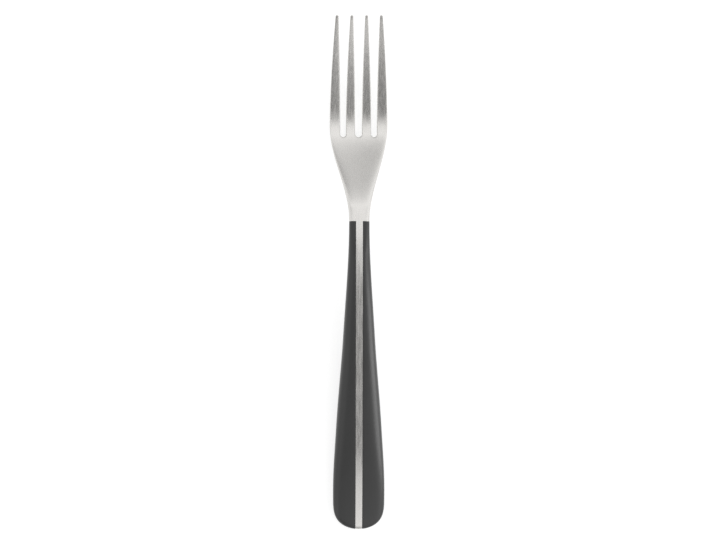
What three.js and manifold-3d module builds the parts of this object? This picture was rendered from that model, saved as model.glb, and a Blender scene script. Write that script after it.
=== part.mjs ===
// Table fork with a full tang between two handle scales. Millimetres, +Z up.
// The fork lies face up with its tines towards +Y. Stations run forward from the butt end of the handle,
// and heights run up from the surface that the fork lies on.
import * as THREE from "three";
import { mergeVertices, toCreasedNormals } from "three/addons/utils/BufferGeometryUtils.js";
import Module from "manifold-3d";

// Lengths along the fork
const HANDLE_LENGTH = 126; // butt end to the shoulder, where the scales stop
const HEAD_LENGTH = 84; // shoulder to the tips
const TINE_LENGTH = 49.2; // bottom of the slots to the tips
const TAPER_LENGTH = 44.5; // tips back to where the tines start to narrow
const BELLY_DISTANCE = 36; // shoulder to the lowest place of the head
const CREST_DISTANCE = 6; // shoulder to the highest place of the neck
const REST_STATION = 40; // butt end to the front of the flat that the handle rests on
const WIDEST_STATION = 16; // butt end to the widest place of the handle
const GRIP_STATION = 42; // butt end to where the handle is gripped
const SLIM_STATION = 80; // butt end to where the handle is slim
const BUTT_ROUNDING = 14; // reach of the round butt along the sides and the back
const FACE_ROUNDING = 50; // reach of the longer rounding along the face

// Widths
const BUTT_WIDTH = 21.1;
const GRIP_WIDTH = 18.6;
const SLIM_WIDTH = 12.9;
const WAIST_WIDTH = 8.3; // at the shoulder
const OUTER_TINE_WIDTH = 4.3; // at the root
const INNER_TINE_WIDTH = 3.7; // at the root
const SIDE_SLOT_WIDTH = 2.4; // at the root
const CENTRE_SLOT_WIDTH = 2.9; // at the root
const TIP_WIDTH = 1.2;
const TIP_GAP = 4.8;
const TIP_FLAT = 0.5; // blunt end left by the rounding of a tip
const TINE_EDGE_RADIUS = 0.4; // softened edges along the slots
const TANG_WIDTH = 2.75; // the stripe between the scales

// Heights and thicknesses
const BUTT_THICKNESS = 8.6; // where the face line would meet the butt end without its rounding
const GRIP_THICKNESS = 10.8; // at the front of the resting flat
const CREST_THICKNESS = 6.8;
const ROOT_THICKNESS = 2.4; // at the belly
const TIP_THICKNESS = 1.2;
const END_HEIGHT = 3.6; // height at which the face and the back meet at the butt end
const CREST_HEIGHT = 9.2; // under the highest place of the neck
const TIP_HEIGHT = 11.2; // under the tips
const ROOT_DISH = 1.2; // how far the sides of the head stand above its middle
const TIP_DISH = 0.4;

// Fastening
const PIN_DIAMETER = 3;
const PIN_LENGTH = 7;
const PIN_CHAMFER = 0.3;
const PIN_CLEARANCE = 0.1; // round a pin and past its ends
const REAR_PIN_STATION = 24; // from the butt end
const FRONT_PIN_SETBACK = 28; // from the shoulder
const BOND_LINE = 0.1; // glue film between the tang and a scale, and at the shoulder

// Character of the curves
const HANDLE_SQUARENESS = 2.5; // power of the handle's rounded section, where 2 is an ellipse
const HEAD_SQUARENESS = 6; // the head is a flat plate with round edges
const BUTT_SQUARENESS = 3.7; // power of the curve round the butt, where 2 is an ellipse
const FACE_SQUARENESS = 2; // the same for the curve down the face to the butt
const BUTT_FLAT = 0.01; // share of these curves cut off square at the very end
const TINE_TAPER = 1.65; // power by which a tine narrows towards its tip
const EDGE_SHARE = 0.5; // part of the half thickness that a softened edge takes

// Facets
const RING_POINTS = 32;
const BUTT_STEPS = 7;
const HANDLE_STEPS = 18;
const NECK_STEPS = 19;
const TINE_STEPS = 14;
const SLOT_STEPS = 9;
const ARC_STEPS = 8;
const EDGE_STEPS = 3;
const PIN_SIDES = 24;
const CREASE_ANGLE = THREE.MathUtils.degToRad(35);

// Derived stations
const LENGTH = HANDLE_LENGTH + HEAD_LENGTH;
const TAPER_STATION = LENGTH - TAPER_LENGTH;
const ROOT_STATION = LENGTH - TINE_LENGTH;
const BELLY_STATION = HANDLE_LENGTH + BELLY_DISTANCE;
const CREST_STATION = HANDLE_LENGTH + CREST_DISTANCE;
const CUT_MARGIN = 5; // how far cutting blocks reach past the fork
const CUT_HEIGHT = CREST_HEIGHT + CREST_THICKNESS + TIP_HEIGHT + GRIP_THICKNESS;

const steel = new THREE.MeshStandardMaterial({ color: 0xc8c7c4, roughness: 0.32, metalness: 1 });
const pinSteel = new THREE.MeshStandardMaterial({ color: 0xb4b4b2, roughness: 0.4, metalness: 1 });
const scalePlastic = new THREE.MeshStandardMaterial({ color: 0x3a3a3a, roughness: 0.45, metalness: 0 });

const wasm = await Module();
wasm.setup();

// Smooth curve through [station, value] knots that never overshoots a knot and runs out straight at its ends
function smoothLine(knots) {
  const spans = knots.slice(1).map(([x, v], i) => ({
    start: knots[i][0],
    length: x - knots[i][0],
    from: knots[i][1],
    to: v,
  }));
  const rates = spans.map((s) => (s.to - s.from) / s.length);
  const slopes = knots.map((_, i) => {
    const [before, after] = [rates[i - 1], rates[i]];
    return before * after > 0 ? (2 * before * after) / (before + after) : 0;
  });
  const last = rates.length;
  slopes[0] = (3 * rates[0] - slopes[1]) / 2;
  slopes[last] = (3 * rates[last - 1] - slopes[last - 1]) / 2;
  return (station) => {
    const i = spans.findIndex((s, n) => n === last - 1 || station < s.start + s.length);
    const s = spans[i];
    const t = (station - s.start) / s.length;
    return (
      s.from * (1 + 2 * t) * (1 - t) ** 2 +
      s.to * (3 - 2 * t) * t ** 2 +
      s.length * (slopes[i] * t * (1 - t) ** 2 - slopes[i + 1] * t ** 2 * (1 - t))
    );
  };
}

// Share of the full size at a station that a rounding of this reach and power leaves
function buttShare(station, reach, power) {
  const left = Math.max(0, 1 - station / reach);
  return Math.sqrt(1 - (1 - BUTT_FLAT) * left ** power);
}

// Edges of the four tines from left to right, at the root and at the tips
const rightRootEdges = [CENTRE_SLOT_WIDTH / 2, INNER_TINE_WIDTH, SIDE_SLOT_WIDTH, OUTER_TINE_WIDTH];
const rightTipEdges = [TIP_GAP / 2, TIP_WIDTH, TIP_GAP, TIP_WIDTH];
const rootEdges = bothSides(rightRootEdges);
const tipEdges = bothSides(rightTipEdges);
const OUTER_EDGE = rootEdges.length - 1;
const TIP_RADIUS = TIP_WIDTH / 2;
const TIP_ROUNDING = Math.sqrt(TIP_RADIUS ** 2 - (TIP_FLAT / 2) ** 2);

function bothSides(steps) {
  const right = steps.map((_, i) => steps.slice(0, i + 1).reduce((sum, step) => sum + step, 0));
  return [...right.map((x) => -x).reverse(), ...right];
}

// Place across the fork of one tine edge at a station, with the tip drawn in to its blunt end
function tineEdge(edge, station) {
  const taper = Math.max(0, (station - TAPER_STATION) / TAPER_LENGTH) ** TINE_TAPER;
  const across = THREE.MathUtils.lerp(rootEdges[edge], tipEdges[edge], taper);
  const intoTip = THREE.MathUtils.clamp(station - (LENGTH - TIP_ROUNDING), 0, TIP_ROUNDING);
  const drawnIn = TIP_RADIUS - Math.sqrt(TIP_RADIUS ** 2 - intoTip ** 2);
  return across + (edge % 2 ? -drawnIn : drawnIn);
}

// The fork's outer form, as one body: outline, face line, back line, squareness and dish
const outline = smoothLine([
  [0, BUTT_WIDTH / 2],
  [WIDEST_STATION, BUTT_WIDTH / 2],
  [GRIP_STATION, GRIP_WIDTH / 2],
  [SLIM_STATION, SLIM_WIDTH / 2],
  [HANDLE_LENGTH, WAIST_WIDTH / 2],
  [TAPER_STATION, rootEdges[OUTER_EDGE]],
  [LENGTH, rootEdges[OUTER_EDGE]],
]);
const faceLine = smoothLine([
  [0, BUTT_THICKNESS],
  [REST_STATION, GRIP_THICKNESS],
  [CREST_STATION, CREST_HEIGHT + CREST_THICKNESS],
  [BELLY_STATION, ROOT_THICKNESS],
  [LENGTH, TIP_HEIGHT + TIP_THICKNESS],
]);
const backLine = smoothLine([
  [0, 0],
  [REST_STATION, 0],
  [CREST_STATION, CREST_HEIGHT],
  [BELLY_STATION, 0],
  [LENGTH, TIP_HEIGHT],
]);
const squareness = smoothLine([
  [0, HANDLE_SQUARENESS],
  [HANDLE_LENGTH, HANDLE_SQUARENESS],
  [BELLY_STATION, HEAD_SQUARENESS],
  [LENGTH, HEAD_SQUARENESS],
]);
const dish = smoothLine([
  [0, 0],
  [HANDLE_LENGTH, 0],
  [BELLY_STATION, ROOT_DISH],
  [LENGTH, TIP_DISH],
]);

function formAt(station) {
  const y = Math.min(station, LENGTH);
  const faceShare = buttShare(y, FACE_ROUNDING, FACE_SQUARENESS);
  const buttedShare = buttShare(y, BUTT_ROUNDING, BUTT_SQUARENESS);
  const face = END_HEIGHT + (faceLine(y) - END_HEIGHT) * faceShare;
  const back = END_HEIGHT + (backLine(y) - END_HEIGHT) * buttedShare;
  return {
    halfWidth: y > TAPER_STATION ? tineEdge(OUTER_EDGE, y) : outline(y) * buttedShare,
    middle: (face + back) / 2,
    halfThickness: (face - back) / 2,
    squareness: squareness(y),
    dish: dish(y),
  };
}

// Point of the form at a place across and along it, where rise runs from -1 on the back to 1 on the face
function formPoint(x, station, rise) {
  const form = formAt(station);
  const dished = form.dish * (x / form.halfWidth) ** 2;
  return new THREE.Vector3(x, station, form.middle + dished + rise * form.halfThickness);
}

// Rounded section of the form, with a level facet along the middle of the face and of the back
function formRing(station) {
  const { halfWidth, squareness: power } = formAt(station);
  const widest = Math.cos(Math.PI / RING_POINTS);
  const crown = (across) => (1 - Math.abs(across) ** power) ** (1 / power);
  const crest = crown(Math.sin(Math.PI / RING_POINTS));
  return Array.from({ length: RING_POINTS }, (_, i) => {
    const angle = ((i + 0.5) / RING_POINTS) * 2 * Math.PI;
    const across = Math.cos(angle);
    const rise = (Math.sign(Math.sin(angle)) * crown(across)) / crest;
    return formPoint((across / widest) * halfWidth, station, rise);
  });
}

function evenSteps(from, to, steps) {
  return Array.from({ length: steps }, (_, i) => THREE.MathUtils.lerp(from, to, i / steps));
}

function formStations() {
  const butt = evenSteps(0, Math.PI / 2, BUTT_STEPS).map(
    (angle) => BUTT_ROUNDING * (1 - Math.cos(angle) ** (2 / BUTT_SQUARENESS)),
  );
  const tip = evenSteps(LENGTH - TIP_ROUNDING, LENGTH, EDGE_STEPS);
  return [
    ...butt,
    ...evenSteps(BUTT_ROUNDING, HANDLE_LENGTH, HANDLE_STEPS),
    ...evenSteps(HANDLE_LENGTH, TAPER_STATION, NECK_STEPS),
    ...evenSteps(TAPER_STATION, LENGTH - TIP_ROUNDING, TINE_STEPS),
    ...tip,
    LENGTH,
  ];
}

// Closed body through rings that run counter-clockwise as seen from in front of the first one.
// flatten gives the two coordinates in which the end caps are cut into triangles.
function loft(rings, flatten) {
  const count = rings[0].length;
  const index = [];
  for (let r = 0; r + 1 < rings.length; r++) {
    for (let i = 0; i < count; i++) {
      const near = r * count + i;
      const nearNext = r * count + ((i + 1) % count);
      index.push(near, nearNext + count, nearNext, near, near + count, nearNext + count);
    }
  }
  const capOf = (ring) => THREE.ShapeUtils.triangulateShape(ring.map(flatten), []);
  const lastRing = (rings.length - 1) * count;
  capOf(rings[0]).forEach(([a, b, c]) => index.push(a, b, c));
  capOf(rings.at(-1)).forEach(([a, b, c]) => index.push(lastRing + a, lastRing + c, lastRing + b));
  return new THREE.BufferGeometry().setFromPoints(rings.flat()).setIndex(index);
}

function solidOf(geometry) {
  const bare = geometry.clone();
  bare.deleteAttribute("normal");
  bare.deleteAttribute("uv");
  const merged = mergeVertices(bare);
  return new wasm.Manifold(
    new wasm.Mesh({
      numProp: 3,
      vertProperties: merged.attributes.position.array,
      triVerts: new Uint32Array(merged.index.array),
    }),
  );
}

function meshOf(name, solid, material) {
  const { vertProperties, triVerts } = solid.getMesh();
  const geometry = new THREE.BufferGeometry();
  geometry.setAttribute("position", new THREE.BufferAttribute(vertProperties, 3));
  geometry.setIndex(new THREE.BufferAttribute(triVerts, 1));
  const mesh = new THREE.Mesh(toCreasedNormals(geometry, CREASE_ANGLE), material);
  mesh.name = name;
  return mesh;
}

// Cutting block between two places across and two stations, taller than the fork
function blockSolid(fromX, toX, fromStation, toStation) {
  const box = new THREE.BoxGeometry(toX - fromX, toStation - fromStation, 2 * CUT_HEIGHT);
  box.translate((fromX + toX) / 2, (fromStation + toStation) / 2, 0);
  return solidOf(box);
}

// Punch for the slot between two neighbouring tine edges. Its levels run from above the face to below the
// back and follow the bent head, and it widens towards both so that the tines come out with soft edges.
function slotSolid(leftEdge, rightEdge) {
  const halfRoot = (rootEdges[rightEdge] - rootEdges[leftEdge]) / 2;
  const rootMiddle = (rootEdges[rightEdge] + rootEdges[leftEdge]) / 2;
  const arcStation = ROOT_STATION + halfRoot;
  const stations = [
    ...evenSteps(arcStation, LENGTH - TIP_ROUNDING, SLOT_STEPS),
    ...evenSteps(LENGTH - TIP_ROUNDING, LENGTH, EDGE_STEPS),
    LENGTH,
    LENGTH + CUT_MARGIN,
  ];
  const outlineAt = (offset) => {
    const left = stations.map((y) => [tineEdge(leftEdge, y) - offset, y]).reverse();
    const bottom = evenSteps(-Math.PI, 0, ARC_STEPS)
      .slice(1)
      .map((angle) => [
        rootMiddle + (halfRoot + offset) * Math.cos(angle),
        arcStation + (halfRoot + offset) * Math.sin(angle),
      ]);
    const right = stations.map((y) => [tineEdge(rightEdge, y) + offset, y]);
    return [...left, ...bottom, ...right];
  };
  const faceLevels = [...evenSteps(Math.PI / 2, 0, EDGE_STEPS), 0].map((angle) => ({
    rise: 1 - EDGE_SHARE * (1 - Math.sin(angle)),
    offset: TINE_EDGE_RADIUS * (1 - Math.cos(angle)),
  }));
  const backLevels = faceLevels.map(({ rise, offset }) => ({ rise: -rise, offset })).reverse();
  const bentRings = [...faceLevels, ...backLevels].map(({ rise, offset }) =>
    outlineAt(offset).map(([x, y]) => formPoint(x, y, rise)),
  );
  const levelRing = (z) => outlineAt(TINE_EDGE_RADIUS).map(([x, y]) => new THREE.Vector3(x, y, z));
  const rings = [levelRing(CUT_HEIGHT), ...bentRings, levelRing(-CUT_HEIGHT)];
  return solidOf(loft(rings, (p) => new THREE.Vector2(p.x, p.y)));
}

// Cross pins, with the holes that they pass through
const rearPin = REAR_PIN_STATION;
const frontPin = HANDLE_LENGTH - FRONT_PIN_SETBACK;
const pinStations = { rear_pin: rearPin, middle_pin: (rearPin + frontPin) / 2, front_pin: frontPin };

function pinHole(station) {
  const radius = PIN_DIAMETER / 2 + PIN_CLEARANCE;
  const hole = new THREE.CylinderGeometry(radius, radius, PIN_LENGTH + 2 * PIN_CLEARANCE, PIN_SIDES);
  hole.rotateZ(Math.PI / 2);
  hole.translate(0, station, formAt(station).middle);
  return solidOf(hole);
}

function pinMesh(name, station) {
  const radius = PIN_DIAMETER / 2;
  const half = PIN_LENGTH / 2;
  const profile = [
    [0, -half],
    [radius - PIN_CHAMFER, -half],
    [radius, PIN_CHAMFER - half],
    [radius, half - PIN_CHAMFER],
    [radius - PIN_CHAMFER, half],
    [0, half],
  ].map(([r, along]) => new THREE.Vector2(r, along));
  const mesh = new THREE.Mesh(new THREE.LatheGeometry(profile, PIN_SIDES), pinSteel);
  mesh.name = name;
  mesh.rotation.z = Math.PI / 2;
  mesh.position.set(0, station, formAt(station).middle);
  return mesh;
}

const form = solidOf(loft(formStations().map(formRing), (p) => new THREE.Vector2(p.x, p.z)));
const pinHoles = Object.values(pinStations).map(pinHole);
const REACH = rootEdges[OUTER_EDGE] + BUTT_WIDTH;
const FRONT = LENGTH + CUT_MARGIN;

// Head: tines, dished root and neck, in one piece with the tang that stands on edge through the handle
function headMesh() {
  let head = form.intersect(blockSolid(-REACH, REACH, HANDLE_LENGTH, FRONT));
  for (let edge = 1; edge < OUTER_EDGE; edge += 2) {
    head = head.subtract(slotSolid(edge, edge + 1));
  }
  const tangFront = HANDLE_LENGTH + TANG_WIDTH;
  const tang = form.intersect(blockSolid(-TANG_WIDTH / 2, TANG_WIDTH / 2, -CUT_MARGIN, tangFront));
  const whole = pinHoles.reduce((body, hole) => body.subtract(hole), head.add(tang));
  return meshOf("fork_head", whole, steel);
}

// Scale: the handle's form on one side of the tang, with blind sockets for the pins
function scaleMesh(name, side) {
  const inner = side * (TANG_WIDTH / 2 + BOND_LINE);
  const [fromX, toX] = [inner, side * REACH].sort((a, b) => a - b);
  const block = blockSolid(fromX, toX, -CUT_MARGIN, HANDLE_LENGTH - BOND_LINE);
  const scale = pinHoles.reduce((body, hole) => body.subtract(hole), form.intersect(block));
  return meshOf(name, scale, scalePlastic);
}

const fork = new THREE.Group();
fork.position.y = -LENGTH / 2;
fork.add(headMesh(), scaleMesh("left_scale", -1), scaleMesh("right_scale", 1));
Object.entries(pinStations).forEach(([name, station]) => fork.add(pinMesh(name, station)));

export default fork;
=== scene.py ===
import functools
import math

import bmesh
import bpy
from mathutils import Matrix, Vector


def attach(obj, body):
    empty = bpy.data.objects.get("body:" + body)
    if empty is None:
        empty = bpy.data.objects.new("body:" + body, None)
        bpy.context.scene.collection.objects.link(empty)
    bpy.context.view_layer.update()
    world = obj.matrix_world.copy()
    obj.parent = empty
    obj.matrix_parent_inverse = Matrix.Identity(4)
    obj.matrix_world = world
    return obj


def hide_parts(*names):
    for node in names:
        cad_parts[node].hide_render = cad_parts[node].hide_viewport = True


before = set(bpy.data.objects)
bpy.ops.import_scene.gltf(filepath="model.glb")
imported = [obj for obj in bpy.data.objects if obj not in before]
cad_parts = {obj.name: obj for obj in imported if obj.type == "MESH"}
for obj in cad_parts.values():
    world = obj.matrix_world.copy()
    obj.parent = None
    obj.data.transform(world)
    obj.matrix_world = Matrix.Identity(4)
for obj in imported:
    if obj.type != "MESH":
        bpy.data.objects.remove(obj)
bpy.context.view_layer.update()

# Fork head: tines, dished root, neck and tang in one piece of stainless steel. It is forged from bar,
# slotted, bent and brushed along its length. The tang stands on edge and runs through to the butt end.
# Sizes are in millimetres: stations run forward from the butt end, and heights up from the table.
MM = 0.001
LENGTH = 210
HANDLE_LENGTH = 126  # butt end to the shoulder, where the scales stop
WIDEST_STATION = 16
GRIP_STATION = 42
SLIM_STATION = 80
CROWN_STATION = 110  # where the crowned handle starts to flatten towards the neck
REST_STATION = 40  # front of the flat that the handle rests on
CREST_STATION = 132  # highest place of the neck
RIM_STATION = 148  # where the rims of the head are softest
ROOT_STATION = 160.8  # bottom of the slots
BELLY_STATION = 162  # lowest place of the head
TAPER_STATION = 165.5  # where the tines start to narrow
BUTT_HALF_WIDTH = 10.55
GRIP_HALF_WIDTH = 9.3
SLIM_HALF_WIDTH = 6.45
NECK_HALF_WIDTH = 4.15
HEAD_HALF_WIDTH = 11.85
BUTT_FACE = 8.6  # heights of the face on the middle line
REST_FACE = 10.8
CREST_FACE = 15.99  # just under the top of the facetted solid, so that nothing stands above it
BELLY_FACE = 2.4
TIP_FACE = 12.4
CREST_BACK = 9.2  # heights of the back, which is on the table at the rest and the belly
TIP_BACK = 11.2
HANDLE_SQUARENESS = 2.5  # of the cross sections: 2 is an ellipse, and more is squarer
SHOULDER_SQUARENESS = 4.5
RIM_SQUARENESS = 3.3
HEAD_SQUARENESS = 6
BELLY_DISH = 1.2  # how far the rims stand above the middle line
TIP_DISH = 0.4
BUTT_ROUNDING = 14  # reach of the round butt along the sides and the back
FACE_ROUNDING = 50  # reach of the longer rounding along the face
BUTT_SQUARENESS = 3.7  # of those two roundings
FACE_SQUARENESS = 2
BUTT_FLAT = 0.01  # the flat end keeps the square root of this, a tenth, of the width
END_HEIGHT = 3.6  # height at which the face and the back meet at the butt end
CENTRE_SLOT = (0, 1.45)  # middle and half width at the root
SIDE_SLOT = (6.35, 1.2)
TIP_PLACES = (3, 9)  # middles of the tips of the right pair of tines
TIP_RADIUS = 0.6
TIP_ROUNDING = 0.545  # length of the rounded tip, which ends blunt
TIP_THINNING = 0.75  # leaves half of the thickness at the very end
TINE_TAPER = 1.65  # power of the taper: the tines narrow faster towards their tips
ROOT_EDGES = (CENTRE_SLOT[1], SIDE_SLOT[0] - SIDE_SLOT[1], SIDE_SLOT[0] + SIDE_SLOT[1], HEAD_HALF_WIDTH)
TIP_EDGES = [place + side * TIP_RADIUS for place in TIP_PLACES for side in (-1, 1)]
OUTER_EDGE = 3  # the last of these edges, which is the rim


def smooth_line(*knots):
    """Curve through (station, value) knots that overshoots none of them. Its ends run out straight."""
    spans = list(zip(knots, knots[1:]))
    rates = [(b[1] - a[1]) / (b[0] - a[0]) for a, b in spans]
    slopes = [2 * p * q / (p + q) if p * q > 0 else 0 for p, q in zip(rates, rates[1:])]
    slopes = [(3 * rates[0] - slopes[0]) / 2, *slopes, (3 * rates[-1] - slopes[-1]) / 2]

    def value(station):
        i = next((i for i, (_, b) in enumerate(spans) if station < b[0]), len(spans) - 1)
        (start, low), (end, high) = spans[i]
        t = (station - start) / (end - start)
        bend = slopes[i] * t * (1 - t) ** 2 - slopes[i + 1] * t ** 2 * (1 - t)
        return low * (1 + 2 * t) * (1 - t) ** 2 + high * (3 - 2 * t) * t ** 2 + bend * (end - start)

    return value


outline = smooth_line(
    (0, BUTT_HALF_WIDTH), (WIDEST_STATION, BUTT_HALF_WIDTH), (GRIP_STATION, GRIP_HALF_WIDTH),
    (SLIM_STATION, SLIM_HALF_WIDTH), (HANDLE_LENGTH, NECK_HALF_WIDTH),
    (TAPER_STATION, HEAD_HALF_WIDTH), (LENGTH, HEAD_HALF_WIDTH),
)
face_line = smooth_line(
    (0, BUTT_FACE), (REST_STATION, REST_FACE), (CREST_STATION, CREST_FACE),
    (BELLY_STATION, BELLY_FACE), (LENGTH, TIP_FACE),
)
back_line = smooth_line(
    (0, 0), (REST_STATION, 0), (CREST_STATION, CREST_BACK), (BELLY_STATION, 0), (LENGTH, TIP_BACK),
)
squareness = smooth_line(
    (0, HANDLE_SQUARENESS), (CROWN_STATION, HANDLE_SQUARENESS), (HANDLE_LENGTH, SHOULDER_SQUARENESS),
    (RIM_STATION, RIM_SQUARENESS), (BELLY_STATION, HEAD_SQUARENESS), (LENGTH, HEAD_SQUARENESS),
)
dish = smooth_line((0, 0), (HANDLE_LENGTH, 0), (BELLY_STATION, BELLY_DISH), (LENGTH, TIP_DISH))


def between(start, end, share):
    return start + (end - start) * share


def steps(count):
    return [i / count for i in range(count + 1)]


def quarter_turn(count):
    return [share * math.pi / 2 for share in steps(count)]


def butt_share(station, reach, power):
    """Share of the full width or height that the rounding at the butt leaves at a station."""
    left = max(0, 1 - station / reach)
    return math.sqrt(1 - (1 - BUTT_FLAT) * left ** power)


def tine_edge(edge, station):
    """Place across the fork of one edge of the right pair of tines, drawn in at the blunt tip."""
    taper = max(0, (station - TAPER_STATION) / (LENGTH - TAPER_STATION)) ** TINE_TAPER
    into_tip = max(0, station - LENGTH + TIP_ROUNDING)
    drawn_in = TIP_RADIUS - math.sqrt(TIP_RADIUS ** 2 - into_tip ** 2)
    return between(ROOT_EDGES[edge], TIP_EDGES[edge], taper) + (-drawn_in if edge % 2 else drawn_in)


@functools.lru_cache(maxsize=None)
def section_at(station):
    """Half width, middle height, half thickness, squareness and dish of the fork at a station."""
    side_share = butt_share(station, BUTT_ROUNDING, BUTT_SQUARENESS)
    face_share = butt_share(station, FACE_ROUNDING, FACE_SQUARENESS)
    face = END_HEIGHT + (face_line(station) - END_HEIGHT) * face_share
    back = END_HEIGHT + (back_line(station) - END_HEIGHT) * side_share
    in_tines = station > TAPER_STATION
    half_width = tine_edge(OUTER_EDGE, station) if in_tines else outline(station) * side_share
    into_tip = max(0, station - LENGTH + TIP_ROUNDING) / TIP_ROUNDING
    thinned = math.sqrt(1 - TIP_THINNING * into_tip ** 2)
    return half_width, (face + back) / 2, (face - back) / 2 * thinned, squareness(station), dish(station)


def on_form(x, station, rise, inset=0):
    """Point of the fork's surface, or this far inside it. rise is 1 on the face and -1 on the back."""
    half_width, middle, half_thickness, power, hollow = section_at(station)
    across = min(1, round(abs(x) / (half_width - inset), 6))  # rounded, so face and back meet at the rim
    crown = (1 - across ** power) ** (1 / power)
    height = middle + hollow * across ** 2 + rise * crown * (half_thickness - inset)
    return Vector((x, station - LENGTH / 2, height)) * MM


def add_patch(skin, rows, sides=(1, -1)):
    """Adds a grid of points, given row by row for the right side, to a mesh on each of these sides."""
    for side in sides:
        grid = [[skin.verts.new((side * p.x, p.y, p.z)) for p in row] for row in rows]
        for row, following in zip(grid, grid[1:]):
            for i in range(len(row) - 1):
                skin.faces.new((row[i], row[i + 1], following[i + 1], following[i]))


WELD_DISTANCE = 0.001 * MM
CREASE_ANGLE = math.radians(55)  # edges sharper than this stay crisp


def finish_piece(name, skin, material):
    """Welds the patches of a mesh into a closed skin and makes it an object."""
    bmesh.ops.remove_doubles(skin, verts=skin.verts, dist=WELD_DISTANCE)
    bmesh.ops.recalc_face_normals(skin, faces=skin.faces)
    mesh = bpy.data.meshes.new(name)
    skin.to_mesh(mesh)
    skin.free()
    mesh.shade_smooth()
    mesh.set_sharp_from_angle(angle=CREASE_ANGLE)
    mesh.materials.append(material)
    piece = bpy.data.objects.new(name, mesh)
    bpy.context.scene.collection.objects.link(piece)
    return piece


# The grid of the head runs in four blocks from its middle line to its rim: half of the centre slot, the
# inner tine, the side slot and the outer tine. Lines between the blocks end at the slots' round bottoms.
# Angles round a bottom are in degrees: -90 is straight back, and -180 and 0 are its left and right ends.
TANG_HALF_WIDTH = 1.375
SHOULDER_RADIUS = 0.06
EDGE_RADIUS = 0.4  # softened edges of the tines
EDGE_SHARE = 0.5  # part of the half thickness that a softened edge takes
EDGE_LIMIT = 0.3  # most of a slim place's width or half thickness that an edge takes
GRID_STATION = 156.8  # where the lines start to turn towards the slots
TINE_STATION = 163  # where the grid has left the round bottoms behind
SHOULDER_LINES = (0.5, TANG_HALF_WIDTH, 2.6)  # where the lines cross the shoulder
ROOT_LINES = (1.76, 4.77, 7.93)  # and where they cross GRID_STATION
RIM_CROWDING = 2.5  # draws the columns together where the rim turns over
centre_columns = steps(4)
tine_columns = steps(6)
slot_columns = steps(8)
rim_columns = [1 - (1 - share) ** RIM_CROWDING for share in steps(12)]
turn_degrees = (15, 30, 45)  # from the end of a line to the straight side of its slot
straight_stations = [between(TINE_STATION, LENGTH - TIP_ROUNDING, share) for share in steps(34)]
straight_stations += [LENGTH - TIP_ROUNDING * (1 - share) for share in steps(5)[1:]]
soft_edge = [(1 - math.cos(angle), 1 - EDGE_SHARE * (1 - math.sin(angle))) for angle in quarter_turn(4)]


def grid_line(line, station):
    """Place across the neck of a line between two blocks."""
    half_width = section_at(station)[0]
    share = (station - HANDLE_LENGTH) / (GRID_STATION - HANDLE_LENGTH)
    share = share * share * (3 - 2 * share)
    at_shoulder = SHOULDER_LINES[line] / section_at(HANDLE_LENGTH)[0]
    at_root = ROOT_LINES[line] / section_at(GRID_STATION)[0]
    return half_width * between(at_shoulder, at_root, share)


def round_bottom(slot, degrees, offset=EDGE_RADIUS):
    """Plan point at an angle round the bottom of a slot, this far into the steel."""
    middle, radius = slot
    angle = math.radians(degrees)
    reach = radius + offset
    return Vector((middle + reach * math.cos(angle), ROOT_STATION + radius + reach * math.sin(angle)))


def edge_point(edge, station, share=1):
    """Plan point on a tine at this share of the softened edge's width from one of its edges."""
    first = edge - edge % 2
    width = tine_edge(first + 1, station) - tine_edge(first, station)
    offset = min(EDGE_RADIUS, EDGE_LIMIT * width) * share
    return Vector((tine_edge(edge, station) + (-offset if edge % 2 else offset), station))


def rim_point(station):
    return Vector((section_at(station)[0], station))


neck_start = HANDLE_LENGTH + 2 * SHOULDER_RADIUS  # a row this close keeps the edge's shading narrow
neck_stations = [HANDLE_LENGTH + SHOULDER_RADIUS]
neck_stations += [between(neck_start, GRID_STATION, share) for share in steps(34)]
shoulder_rows = [
    (HANDLE_LENGTH + SHOULDER_RADIUS * (1 - math.sin(angle)), SHOULDER_RADIUS * (1 - math.cos(angle)))
    for angle in quarter_turn(5)
]
line_ends = (
    round_bottom(CENTRE_SLOT, -90),
    round_bottom(CENTRE_SLOT, -45),
    round_bottom(SIDE_SLOT, -135),
    round_bottom(SIDE_SLOT, -45),
)
turns = steps(7)[1:]


def neck_points(station):
    """Plan points where the middle line, the lines between the blocks and the rim cross a station."""
    inner = [Vector((grid_line(line, station), station)) for line in range(len(SHOULDER_LINES))]
    return [Vector((0, station)), *inner, rim_point(station)]


def turn_points(share):
    """The same where the lines turn from GRID_STATION towards their ends at the slots."""
    starts = neck_points(GRID_STATION)
    points = [
        Vector((between(start.x, end.x, share ** 2), between(start.y, end.y, share)))
        for start, end in zip(starts, line_ends)
    ]
    return [*points, rim_point(points[-1].y)]


def row_between(left, right, columns, bulge=None, share=0):
    """Points from left to right, which bend round a slot's bottom as the share of the turn grows."""
    points = [left.lerp(right, column) for column in columns]
    if bulge:
        points = [point + bulge(column) * share ** 2 for point, column in zip(points, columns)]
    return points


def bottom_bulge(slot, start, end):
    """How far a slot's round bottom stands off the straight line between two angles on it."""
    first, last = round_bottom(slot, start), round_bottom(slot, end)
    return lambda share: round_bottom(slot, between(start, end, share)) - first.lerp(last, share)


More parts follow.
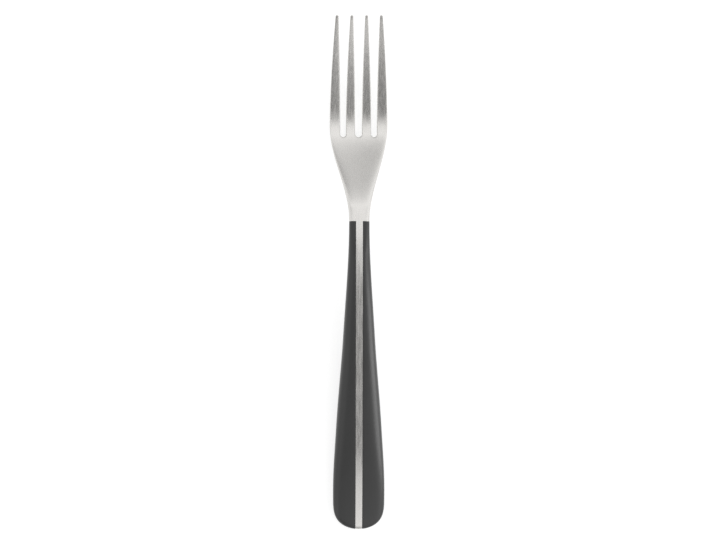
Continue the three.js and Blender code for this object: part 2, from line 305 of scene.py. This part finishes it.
blocks = (
    (0, centre_columns, bottom_bulge(CENTRE_SLOT, -90, -45)),
    (1, tine_columns, None),
    (2, slot_columns, bottom_bulge(SIDE_SLOT, -135, -45)),
    (3, rim_columns, None),
)
inner_tine = [
    (round_bottom(CENTRE_SLOT, turn - 45), round_bottom(SIDE_SLOT, -135 - turn)) for turn in turn_degrees
]
inner_tine += [(edge_point(0, station), edge_point(1, station)) for station in straight_stations]
outer_tine = [round_bottom(SIDE_SLOT, turn - 45) for turn in turn_degrees]
outer_tine = [(left, rim_point(left.y)) for left in outer_tine]
outer_tine += [(edge_point(2, station), rim_point(station)) for station in straight_stations]
tines = {1: inner_tine, 3: outer_tine}

head_skin = bmesh.new()
for block, columns, bulge in blocks:
    in_middle = block < 2
    stations = [station for station, _ in reversed(shoulder_rows)][:-1] if in_middle else []
    plan = [
        row_between(points[block], points[block + 1], columns)
        for points in map(neck_points, stations + neck_stations)
    ]
    for share in turns:
        points = turn_points(share)
        plan.append(row_between(points[block], points[block + 1], columns, bulge, share))
    plan += [row_between(left, right, columns) for left, right in tines.get(block, ())]
    for rise in (1, -1):
        add_patch(head_skin, [[on_form(x, y, rise) for x, y in row] for row in plan])

# Walls of the slots, with their softened edges on the face and on the back
edge_levels = [*reversed(soft_edge), *((share, -rise) for share, rise in soft_edge)]
centre_turns = [between(-90, -45, column) for column in centre_columns]
centre_turns += [turn - 45 for turn in turn_degrees]
side_turns = [-135 - turn for turn in reversed(turn_degrees)]
side_turns += [between(-135, -45, column) for column in slot_columns]
side_turns += [turn - 45 for turn in turn_degrees]


def wall_rows(places):
    return [[on_form(*place(share), rise) for share, rise in edge_levels] for place in places]


def bottom_place(slot, degrees):
    return lambda share: round_bottom(slot, degrees, EDGE_RADIUS * share)


def straight_place(edge, station):
    return lambda share: edge_point(edge, station, share)


centre_wall = [bottom_place(CENTRE_SLOT, degrees) for degrees in centre_turns]
centre_wall += [straight_place(0, station) for station in straight_stations]
side_wall = [straight_place(1, station) for station in reversed(straight_stations)]
side_wall += [bottom_place(SIDE_SLOT, degrees) for degrees in side_turns]
side_wall += [straight_place(2, station) for station in straight_stations]
add_patch(head_skin, wall_rows(centre_wall))
add_patch(head_skin, wall_rows(side_wall))

# Blunt ends of the tines
for edge, columns in ((0, tine_columns), (2, rim_columns)):
    outer_side = rim_point(LENGTH) if edge else edge_point(1, LENGTH)
    end_places = [(edge_point(edge, LENGTH, share), rise) for share, rise in soft_edge[:-1]]
    end_places += [(edge_point(edge, LENGTH).lerp(outer_side, column), 1) for column in columns]
    if edge == 0:
        end_places += [(edge_point(1, LENGTH, share), rise) for share, rise in reversed(soft_edge[:-1])]
    tine_end = [[on_form(*place, side * rise) for place, rise in end_places] for side in (1, -1)]
    add_patch(head_skin, tine_end)

# Shoulder beside the tang, with its rounded edge
shoulder_ring = {}
for rise in (1, -1):
    rounded = []
    for station, inset in shoulder_rows:
        _, _, tang_side, outer_line, rim = neck_points(station)
        row = row_between(tang_side, outer_line, slot_columns)
        row += row_between(outer_line, rim, rim_columns)[1:]
        wall = tang_side.x
        drawn_in = (rim.x - inset - wall) / (rim.x - wall)
        rounded.append([on_form(wall + (p.x - wall) * drawn_in, station, rise, inset) for p in row])
    add_patch(head_skin, rounded)
    shoulder_ring[rise] = rounded[-1]
    notch = [
        [on_form(grid_line(1, station), station, rise, step) for step in (0, inset)]
        for station, inset in shoulder_rows
    ]
    add_patch(head_skin, notch)
add_patch(head_skin, [shoulder_ring[1], shoulder_ring[-1]])

# Tang: face, back, two sides and the butt end
TANG_LIMIT = 0.97  # most of the fork's width that the tang takes where the butt closes in
butt_stations = [
    BUTT_ROUNDING * (1 - math.cos(angle) ** (2 / BUTT_SQUARENESS)) for angle in quarter_turn(16)
]
handle_stations = [between(BUTT_ROUNDING, HANDLE_LENGTH, share) for share in steps(60)[1:]]
tang_stations = butt_stations + handle_stations
inner_share = SHOULDER_LINES[0] / TANG_HALF_WIDTH
tang_columns = [inner_share * column for column in centre_columns]
tang_columns += [between(inner_share, 1, column) for column in tine_columns[1:]]


def tang_levels(column, station):
    """Points down the tang from its face to its back, with a level just inside each."""
    half_width, _, half_thickness, _, _ = section_at(station)
    x = column * min(TANG_HALF_WIDTH, TANG_LIMIT * half_width)
    inset = min(SHOULDER_RADIUS, EDGE_LIMIT * half_thickness)
    return [on_form(x, station, rise, step) for rise, step in ((1, 0), (1, inset), (-1, inset), (-1, 0))]


for level in (0, -1):
    add_patch(
        head_skin,
        [[tang_levels(column, station)[level] for column in tang_columns] for station in tang_stations],
    )
add_patch(head_skin, [tang_levels(1, station) for station in tang_stations])
add_patch(head_skin, [tang_levels(column, 0) for column in tang_columns])


def hex_colour(code):
    """Linear colour of an sRGB hex value."""
    parts = [int(code[i:i + 2], 16) / 255 for i in (1, 3, 5)]
    return (*(c / 12.92 if c <= 0.04045 else ((c + 0.055) / 1.055) ** 2.4 for c in parts), 1)


def new_material(name):
    """Material without nodes yet, and its node tree."""
    material = bpy.data.materials.new(name)
    material.use_nodes = True
    material.node_tree.nodes.clear()
    return material, material.node_tree


def add_node(tree, kind, inputs=None, **settings):
    """Adds a node with its settings. Each input is a value, or the output of another node to link."""
    node = tree.nodes.new(kind)
    for name, value in settings.items():
        setattr(node, name, value)
    sockets = {socket.identifier: socket for socket in node.inputs}
    for name, value in (inputs or {}).items():
        if isinstance(value, bpy.types.NodeSocket):
            tree.links.new(value, sockets[name])
        else:
            sockets[name].default_value = value
    return node


# Stainless steel with a satin finish brushed along the fork: reflections stay crisp along it and smear
# across. Real brush lines are about 0.03 mm apart, too fine for the picture, so they are drawn 0.5 mm
# apart.
BRUSH_SPACING = 0.5 * MM
BRUSH_STROKE = 14 * MM
BRUSH_DEPTH = 0.01 * MM
satin_steel, steel_tree = new_material("satin_brushed_stainless_steel")
steel_place = add_node(steel_tree, "ShaderNodeTexCoord")
brush_grid = add_node(
    steel_tree, "ShaderNodeMapping",
    {
        "Vector": steel_place.outputs["Object"],
        "Scale": (1 / BRUSH_SPACING, 1 / BRUSH_STROKE, 1 / BRUSH_SPACING),
    },
)
brush_lines = add_node(
    steel_tree, "ShaderNodeTexNoise",
    {"Vector": brush_grid.outputs["Vector"], "Scale": 1, "Detail": 1},
)
steel_tone = add_node(
    steel_tree, "ShaderNodeMix",
    {
        "Factor_Float": brush_lines.outputs["Fac"],
        "A_Color": hex_colour("#d0cecb"),
        "B_Color": hex_colour("#dcdad7"),
    },
    data_type="RGBA",
)
steel_roughness = add_node(
    steel_tree, "ShaderNodeMapRange",
    {"Value": brush_lines.outputs["Fac"], "From Min": 0.3, "From Max": 0.7, "To Min": 0.2, "To Max": 0.3},
)
brush_relief = add_node(
    steel_tree, "ShaderNodeBump",
    {"Height": brush_lines.outputs["Fac"], "Strength": 0.16, "Distance": BRUSH_DEPTH},
)
across_brush = add_node(steel_tree, "ShaderNodeCombineXYZ", {"X": 1})
steel_surface = add_node(
    steel_tree, "ShaderNodeBsdfPrincipled",
    {
        "Base Color": steel_tone.outputs[2],
        "Metallic": 1,
        "Roughness": steel_roughness.outputs["Result"],
        "Anisotropic": 0.8,
        "Tangent": across_brush.outputs["Vector"],
        "Normal": brush_relief.outputs["Normal"],
    },
)
add_node(steel_tree, "ShaderNodeOutputMaterial", {"Surface": steel_surface.outputs["BSDF"]})

head = finish_piece("forged_head", head_skin, satin_steel)
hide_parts("fork_head")
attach(head, "root")

# Cross pins: three short turned steel pins that pass through the tang into blind sockets in the scales.
# They hold the scales in line while the glue sets, and don't show once the handle is closed.
PIN_NAMES = ("rear_pin", "middle_pin", "front_pin")

# Turned stainless steel: bright, with the fine rings that the tool leaves round each pin. Real rings are
# about 0.12 mm apart, too fine for the picture, so they are drawn 0.754 mm apart.
RING_SPACING = 0.754 * MM
RING_DEPTH = 0.01 * MM
WAVE_REPEAT = math.pi / 10  # length after which Blender's wave pattern repeats at a scale of 1
turned_steel, pin_tree = new_material("turned_stainless_steel")
pin_place = add_node(pin_tree, "ShaderNodeTexCoord")
pin_marks = add_node(
    pin_tree, "ShaderNodeTexWave",
    {
        "Vector": pin_place.outputs["Object"],
        "Scale": WAVE_REPEAT / RING_SPACING,
        "Distortion": 0.4,
        "Detail": 1,
    },
    wave_type="BANDS", bands_direction="X",
)
pin_tone = add_node(
    pin_tree, "ShaderNodeMix",
    {
        "Factor_Float": pin_marks.outputs["Fac"],
        "A_Color": hex_colour("#adadab"),
        "B_Color": hex_colour("#bebebb"),
    },
    data_type="RGBA",
)
pin_relief = add_node(
    pin_tree, "ShaderNodeBump",
    {"Height": pin_marks.outputs["Fac"], "Strength": 0.3, "Distance": RING_DEPTH},
)
pin_surface = add_node(
    pin_tree, "ShaderNodeBsdfPrincipled",
    {
        "Base Color": pin_tone.outputs[2],
        "Metallic": 1,
        "Roughness": 0.35,
        "Normal": pin_relief.outputs["Normal"],
    },
)
add_node(pin_tree, "ShaderNodeOutputMaterial", {"Surface": pin_surface.outputs["BSDF"]})
for name in PIN_NAMES:
    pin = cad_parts[name]
    pin.data.materials.clear()
    pin.data.materials.append(turned_steel)

# Handle scales: two halves of moulded dark acetal, glued and pinned to the tang, then ground flush with
# it and rubbed to a satin finish. They flare from the shoulder to the round butt.
GLUE_LINE = 0.055  # gap to the tang, which shows as a hairline
END_GAP = 0.06  # gap to the shoulder, and how far the scales stop short of the tang's end
EDGE_BREAK = 0.15  # along the tang
FRONT_RADIUS = 0.06
SCALE_INNER_FACE = TANG_HALF_WIDTH + GLUE_LINE
SCALE_FRONT = HANDLE_LENGTH - END_GAP
SCALE_REAR = END_GAP
scale_columns = [math.sin(angle) for angle in quarter_turn(16)]
break_angles = quarter_turn(3)[:-1]
scale_stations = [SCALE_REAR] + [station for station in butt_stations[1:] if station > SCALE_REAR]
front_start = SCALE_FRONT - 2 * FRONT_RADIUS
scale_stations += [between(BUTT_ROUNDING, front_start, share) for share in steps(60)[1:]]
scale_rows = [(station, 0) for station in scale_stations]
scale_rows += [
    (SCALE_FRONT - FRONT_RADIUS * (1 - math.sin(angle)), FRONT_RADIUS * (1 - math.cos(angle)))
    for angle in quarter_turn(4)
]


def scale_row(station, inset, rise):
    """Points of a scale's face or back at a station, from the broken edge along the tang to the rim."""
    half_width = section_at(station)[0] - inset
    row = []
    for angle in break_angles:
        point = on_form(SCALE_INNER_FACE + EDGE_BREAK * (1 - math.cos(angle)), station, rise, inset)
        point.z -= rise * EDGE_BREAK * (1 - math.sin(angle)) * MM
        row.append(point)
    first = SCALE_INNER_FACE + EDGE_BREAK
    row += [on_form(between(first, half_width, column), station, rise, inset) for column in scale_columns]
    return row


# Moulded acetal, dark grey right through, with a soft sheen. The rubbed grain of about 0.05 mm is drawn
# 0.3 mm across, and faint cloudy patches show where the satin finish is a little glossier.
GRAIN = 0.3 * MM
GRAIN_DEPTH = 0.01 * MM
CLOUD = 18 * MM
satin_acetal, acetal_tree = new_material("satin_moulded_acetal")
acetal_place = add_node(acetal_tree, "ShaderNodeTexCoord")
acetal_grain = add_node(
    acetal_tree, "ShaderNodeTexNoise",
    {"Vector": acetal_place.outputs["Object"], "Scale": 1 / GRAIN, "Detail": 2},
)
acetal_cloud = add_node(
    acetal_tree, "ShaderNodeTexNoise",
    {"Vector": acetal_place.outputs["Object"], "Scale": 1 / CLOUD, "Detail": 2},
)
acetal_tone = add_node(
    acetal_tree, "ShaderNodeMix",
    {
        "Factor_Float": acetal_grain.outputs["Fac"],
        "A_Color": hex_colour("#2d2d2d"),
        "B_Color": hex_colour("#313131"),
    },
    data_type="RGBA",
)
acetal_roughness = add_node(
    acetal_tree, "ShaderNodeMapRange",
    {
        "Value": acetal_cloud.outputs["Fac"],
        "From Min": 0.3,
        "From Max": 0.7,
        "To Min": 0.27,
        "To Max": 0.33,
    },
)
acetal_relief = add_node(
    acetal_tree, "ShaderNodeBump",
    {"Height": acetal_grain.outputs["Fac"], "Strength": 0.15, "Distance": GRAIN_DEPTH},
)
acetal_surface = add_node(
    acetal_tree, "ShaderNodeBsdfPrincipled",
    {
        "Base Color": acetal_tone.outputs[2],
        "Roughness": acetal_roughness.outputs["Result"],
        "IOR": 1.48,
        "Normal": acetal_relief.outputs["Normal"],
    },
)
add_node(acetal_tree, "ShaderNodeOutputMaterial", {"Surface": acetal_surface.outputs["BSDF"]})

handle_sides = (("left_handle_scale", "left_scale", -1), ("right_handle_scale", "right_scale", 1))
for name, node, side in handle_sides:
    scale_skin = bmesh.new()
    face = [scale_row(station, inset, 1) for station, inset in scale_rows]
    back = [scale_row(station, inset, -1) for station, inset in scale_rows]
    add_patch(scale_skin, face, [side])
    add_patch(scale_skin, back, [side])
    add_patch(scale_skin, [[up[0], down[0]] for up, down in zip(face, back)], [side])
    add_patch(scale_skin, [face[0], back[0]], [side])
    add_patch(scale_skin, [face[-1], back[-1]], [side])
    scale = finish_piece(name, scale_skin, satin_acetal)
    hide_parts(node)
    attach(scale, "root")

# Stage: a wide white painted floor that runs out to the walls of a studio. It glows a little for what the
# eye and the steel see of it, so that it reads white with a faint shadow.
FLOOR_HALF = 20  # metres, so that its edge is lost in the white
FLOOR_DROP = 0.05 * MM  # keeps it clear of the flat that the handle rests on
floor_mesh = bpy.data.meshes.new("floor")
floor_corners = [
    (x * FLOOR_HALF, y * FLOOR_HALF, -FLOOR_DROP) for x, y in ((-1, -1), (1, -1), (1, 1), (-1, 1))
]
floor_mesh.from_pydata(floor_corners, [], [(0, 1, 2, 3)])
floor = bpy.data.objects.new("floor", floor_mesh)
bpy.context.scene.collection.objects.link(floor)
white_floor, floor_tree = new_material("white_studio_floor")
seen = add_node(floor_tree, "ShaderNodeLightPath")
seen_or_mirrored = add_node(
    floor_tree, "ShaderNodeMath",
    {"Value": seen.outputs["Is Camera Ray"], "Value_001": seen.outputs["Is Glossy Ray"]},
    operation="MAXIMUM",
)
seen_at_all = add_node(
    floor_tree, "ShaderNodeMath",
    {"Value": seen_or_mirrored.outputs["Value"], "Value_001": seen.outputs["Is Transmission Ray"]},
    operation="MAXIMUM",
)
floor_paint = add_node(floor_tree, "ShaderNodeBsdfDiffuse", {"Color": hex_colour("#b0b0b0")})
floor_glow = add_node(floor_tree, "ShaderNodeEmission", {"Color": hex_colour("#ffffff"), "Strength": 0.7})
floor_seen = add_node(
    floor_tree, "ShaderNodeAddShader",
    {"Shader": floor_paint.outputs["BSDF"], "Shader_001": floor_glow.outputs["Emission"]},
)
floor_surface = add_node(
    floor_tree, "ShaderNodeMixShader",
    {
        "Fac": seen_at_all.outputs["Value"],
        "Shader": floor_paint.outputs["BSDF"],
        "Shader_001": floor_seen.outputs["Shader"],
    },
)
add_node(floor_tree, "ShaderNodeOutputMaterial", {"Surface": floor_surface.outputs[0]})
floor_mesh.materials.append(white_floor)

# Studio: white walls, brighter on the right, under a ceiling that is bright over the front and dim
# behind. Places in it are parts of a direction from the fork: X to the right, Y to the front and Z up.
FRONT_LIGHT = 1.216
FRONT_FALL = 0.512  # dimmer towards the front wall
BACK_LIGHT = 0.228
BACK_RISE = 0.416  # brighter towards the back wall
CORNER_RISE = 0.64  # brighter in the two corners on the right, and dimmer in those on the left
WALL_LIGHT = 1
RIGHT_WALL_LIGHT = 1.3
DIM_BEHIND, BRIGHT_AHEAD = -0.095, -0.06  # Y where the ceiling turns from dim to bright
CEILING_ENDS, WALLS_START = 0.58, 0.74  # X, to either side
HORIZON_STARTS, HORIZON_WHITE = 0.3, 0.1  # Z where all of it fades to the white of the horizon
studio = bpy.data.worlds.new("studio")
bpy.context.scene.world = studio
studio.use_nodes = True
studio_tree = studio.node_tree
studio_tree.nodes.clear()
look = add_node(studio_tree, "ShaderNodeTexCoord")
direction = add_node(studio_tree, "ShaderNodeSeparateXYZ", {"Vector": look.outputs["Generated"]})
front_light = add_node(
    studio_tree, "ShaderNodeMapRange",
    {"Value": direction.outputs["Y"], "To Min": FRONT_LIGHT, "To Max": FRONT_LIGHT - FRONT_FALL},
)
back_light = add_node(
    studio_tree, "ShaderNodeMapRange",
    {
        "Value": direction.outputs["Y"],
        "From Max": -1,
        "To Min": BACK_LIGHT,
        "To Max": BACK_LIGHT + BACK_RISE,
    },
)
front_half = add_node(
    studio_tree, "ShaderNodeMapRange",
    {"Value": direction.outputs["Y"], "From Min": DIM_BEHIND, "From Max": BRIGHT_AHEAD},
    interpolation_type="SMOOTHSTEP",
)
ceiling_light = add_node(
    studio_tree, "ShaderNodeMix",
    {
        "Factor_Float": front_half.outputs["Result"],
        "A_Float": back_light.outputs["Result"],
        "B_Float": front_light.outputs["Result"],
    },
)
depth = add_node(studio_tree, "ShaderNodeMath", {"Value": direction.outputs["Y"]}, operation="ABSOLUTE")
breadth = add_node(studio_tree, "ShaderNodeMath", {"Value": direction.outputs["X"]}, operation="ABSOLUTE")
corner = add_node(
    studio_tree, "ShaderNodeMath",
    {"Value": direction.outputs["X"], "Value_001": depth.outputs["Value"]},
    operation="MULTIPLY",
)
corner_light = add_node(
    studio_tree, "ShaderNodeMath",
    {"Value": corner.outputs["Value"], "Value_001": CORNER_RISE, "Value_002": ceiling_light.outputs[0]},
    operation="MULTIPLY_ADD",
)
wall_light = add_node(
    studio_tree, "ShaderNodeMapRange",
    {"Value": direction.outputs["X"], "To Min": WALL_LIGHT, "To Max": RIGHT_WALL_LIGHT},
)
beside = add_node(
    studio_tree, "ShaderNodeMapRange",
    {"Value": breadth.outputs["Value"], "From Min": CEILING_ENDS, "From Max": WALLS_START},
    interpolation_type="SMOOTHSTEP",
)
room_light = add_node(
    studio_tree, "ShaderNodeMix",
    {
        "Factor_Float": beside.outputs["Result"],
        "A_Float": corner_light.outputs["Value"],
        "B_Float": wall_light.outputs["Result"],
    },
)
low = add_node(
    studio_tree, "ShaderNodeMapRange",
    {"Value": direction.outputs["Z"], "From Min": HORIZON_STARTS, "From Max": HORIZON_WHITE},
    interpolation_type="SMOOTHSTEP",
)
studio_light = add_node(
    studio_tree, "ShaderNodeMix",
    {"Factor_Float": low.outputs["Result"], "A_Float": room_light.outputs[0], "B_Float": WALL_LIGHT},
)
studio_glow = add_node(
    studio_tree, "ShaderNodeBackground",
    {"Color": hex_colour("#ffffff"), "Strength": studio_light.outputs[0]},
)
add_node(studio_tree, "ShaderNodeOutputWorld", {"Surface": studio_glow.outputs["Background"]})


# Lamps: a large card behind the butt end that the tips of the tines mirror, and two strips close to the
# handle on its right, low beside its rear and tall beside its front, that give the right scale its sheen.
# Places and sizes are in metres.
def add_softbox(name, place, aim, width, height, radiance):
    """Rectangular lamp that shows in reflections at this radiance but not to the camera itself."""
    lamp = bpy.data.lights.new(name, "AREA")
    lamp.shape = "RECTANGLE"
    lamp.size = width
    lamp.size_y = height
    lamp.energy = radiance * width * height * math.pi
    box = bpy.data.objects.new(name, lamp)
    box.location = place
    box.rotation_euler = (Vector(aim) - Vector(place)).to_track_quat("-Z", "Y").to_euler()
    box.visible_camera = False
    bpy.context.scene.collection.objects.link(box)


add_softbox(
    "bounce_card",
    place=(0, -0.31, 0.4475), aim=(0, 0, 0.4475), width=1, height=0.595, radiance=0.53,
)
add_softbox(
    "rear_strip",
    place=(0.15, -0.07, 0.059), aim=(0, -0.07, 0.059), width=0.074, height=0.108, radiance=2.9,
)
add_softbox(
    "front_strip",
    place=(0.15, -0.022, 0.095), aim=(0, -0.022, 0.095), width=0.022, height=0.18, radiance=2.9,
)

# Camera: straight above the fork with a long lens, leaning a little to the left, so that the fork fills
# the 716 by 540 picture as it does in the photograph.
LEAN = math.radians(1.6)
LENS = 150
SENSOR = 36
PICTURE_WIDTH = 716  # pixels
FORK_PIXELS = 513.9  # length of the fork in the picture
PICTURE_MIDDLE = (-0.39, 1.19, 8)  # the place that the camera looks at
camera_data = bpy.data.cameras.new("studio_camera")
camera_data.lens = LENS
camera_data.sensor_width = SENSOR
camera = bpy.data.objects.new("studio_camera", camera_data)
distance = PICTURE_WIDTH * LENGTH / FORK_PIXELS * MM * LENS / SENSOR
aim = Vector(PICTURE_MIDDLE) * MM
camera.location = aim + distance * Vector((-math.sin(LEAN), 0, math.cos(LEAN)))
camera.rotation_euler = (0, -LEAN, 0)
bpy.context.scene.collection.objects.link(camera)
bpy.context.scene.camera = camera
bpy.context.scene.view_settings.view_transform = "Standard"
